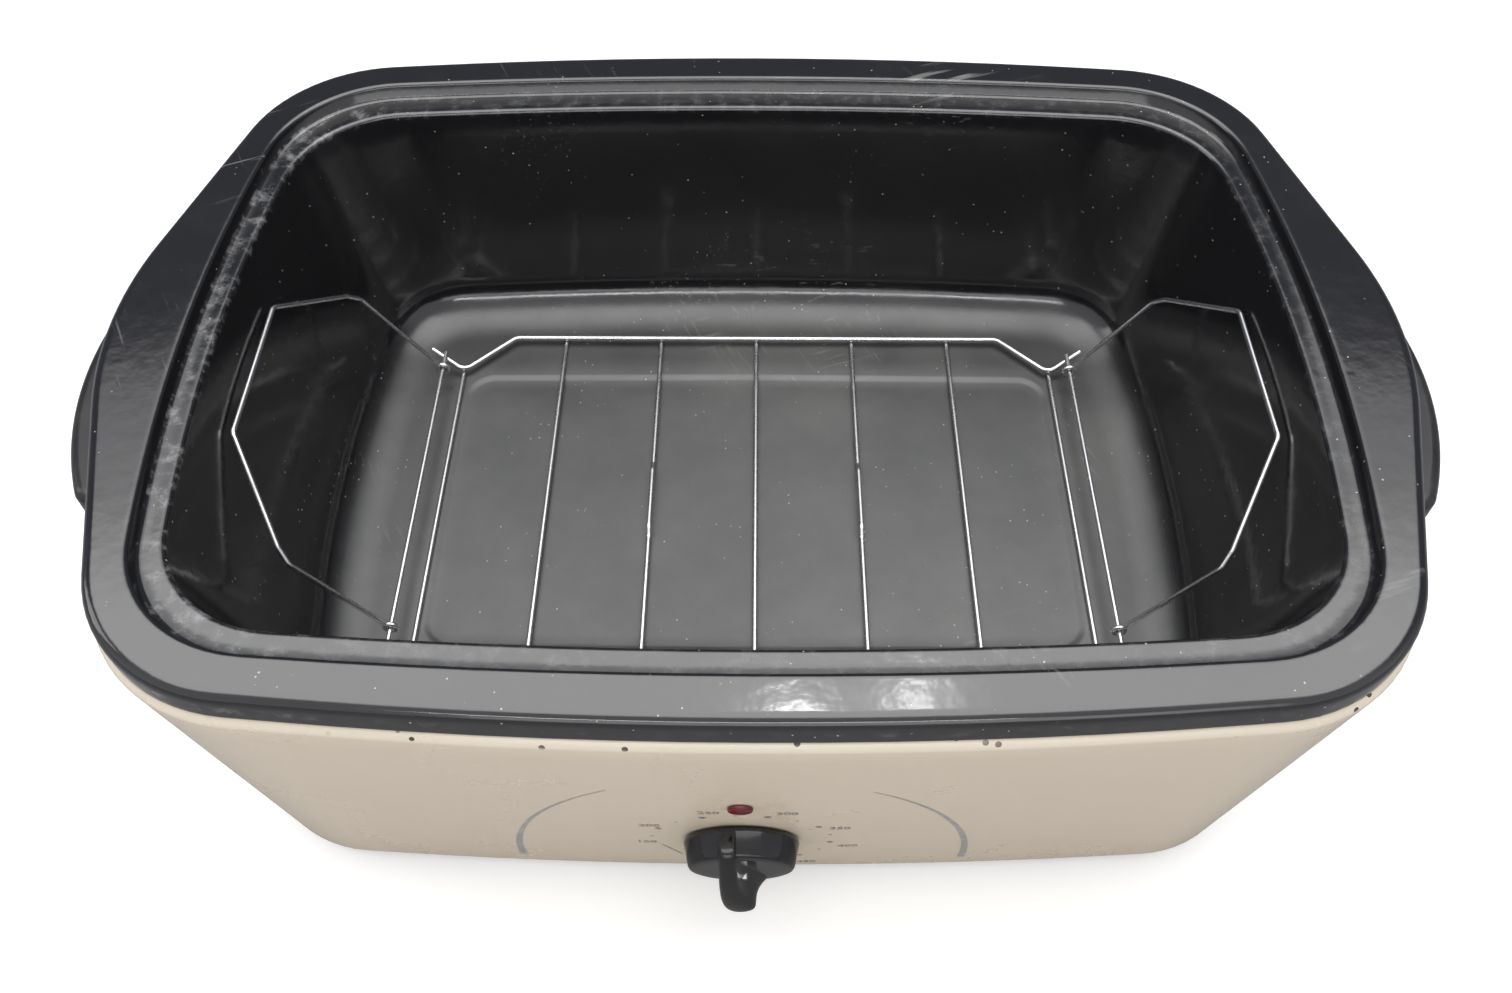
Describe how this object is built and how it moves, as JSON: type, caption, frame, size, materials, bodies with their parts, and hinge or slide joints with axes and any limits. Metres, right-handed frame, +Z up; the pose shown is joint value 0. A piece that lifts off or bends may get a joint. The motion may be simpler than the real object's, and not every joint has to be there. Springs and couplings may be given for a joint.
{
  "type": "electric roaster oven",
  "caption": "Tabletop electric roaster oven with a lift-out enamelled cookwell, a wire rack with folding lifting bails, side handles and a front dial.",
  "frame": {"origin": "on the table, under the middle of the oven", "axes": "+Z up, the control dial faces -Y, the long side runs along X"},
  "size_m": [0.63, 0.4173, 0.21],
  "materials": {
    "casing_paint": "glossy almond paint with small chips at the lip",
    "black_enamel": "glossy black porcelain enamel, scratched and dusty",
    "black_plastic": "moulded heat-proof plastic",
    "knob_plastic": "polished moulded plastic",
    "chrome_wire": "bright plated wire",
    "plain_steel": "zinc-plated",
    "aluminised_steel": "aluminised steel sheet",
    "screw_steel": "zinc-plated",
    "foot_rubber": "moulded",
    "heater_wrap": "woven glass sleeve",
    "insulation": "glass-fibre blanket",
    "brass_parts": "plain",
    "ceramic_white": "unglazed",
    "thermostat_case": "brown moulded phenolic",
    "red_lens": "clear red moulding",
    "lamp_glass": "neon lamp",
    "lead_sleeve": "braided glass sleeve"
  },
  "bodies": {
    "root": {"casing": "casing_paint", "base_plate": "plain_steel", "base_screws": "screw_steel", "foot_front_left": "foot_rubber", "foot_back_left": "foot_rubber", "foot_front_right": "foot_rubber", "foot_back_right": "foot_rubber", "foot_screws": "screw_steel", "heating_well_liner": "aluminised_steel", "heater_band": "heater_wrap", "insulation_blanket": "insulation", "band_clamp": "plain_steel", "heater_terminals": "brass_parts", "heat_shield": "aluminised_steel", "shield_posts": "plain_steel", "thermal_fuse": "ceramic_white", "fuse_clip": "plain_steel", "handle_right": "black_plastic", "handle_left": "black_plastic", "handle_screws": "screw_steel", "thermostat_body": "thermostat_case", "thermostat_nut": "plain_steel", "pilot_lens": "red_lens", "pilot_lamp": "lamp_glass", "pilot_clip": "plain_steel", "cord_inlet_bush": "black_plastic", "terminal_block": "ceramic_white", "terminal_screws": "brass_parts", "internal_leads": "lead_sleeve", "earth_stud": "plain_steel"},
    "cookwell": {"cookwell_pan": "black_enamel"},
    "rack": {"rack_side_rails": "chrome_wire", "rack_cross_wires": "chrome_wire", "rack_end_wires": "chrome_wire"},
    "bail_left": {"bail_left_wire": "chrome_wire"},
    "bail_right": {"bail_right_wire": "chrome_wire"},
    "control": {"knob": "knob_plastic", "thermostat_shaft": "plain_steel"}
  },
  "joints": [
    {"name": "cookwell_lift", "type": "slide", "parent": "root", "child": "cookwell", "axis": [0, 0, 1], "range_m": [0, 0.15]},
    {"name": "rack_lift", "type": "slide", "parent": "cookwell", "child": "rack", "axis": [0, 0, 1], "range_m": [0, 0.15]},
    {"name": "bail_left_fold", "type": "hinge", "parent": "rack", "child": "bail_left", "pos_m": [-0.178, 0, 0.08424], "axis": [0, 1, 0], "range_deg": [0, 116]},
    {"name": "bail_right_fold", "type": "hinge", "parent": "rack", "child": "bail_right", "pos_m": [0.178, 0, 0.08424], "axis": [0, -1, 0], "range_deg": [0, 116]},
    {"name": "dial_turn", "type": "hinge", "parent": "root", "child": "control", "pos_m": [-0.0055, -0.18442, 0.0617], "axis": [0, -0.9876, -0.1569], "range_deg": [-140, 140]}
  ]
}
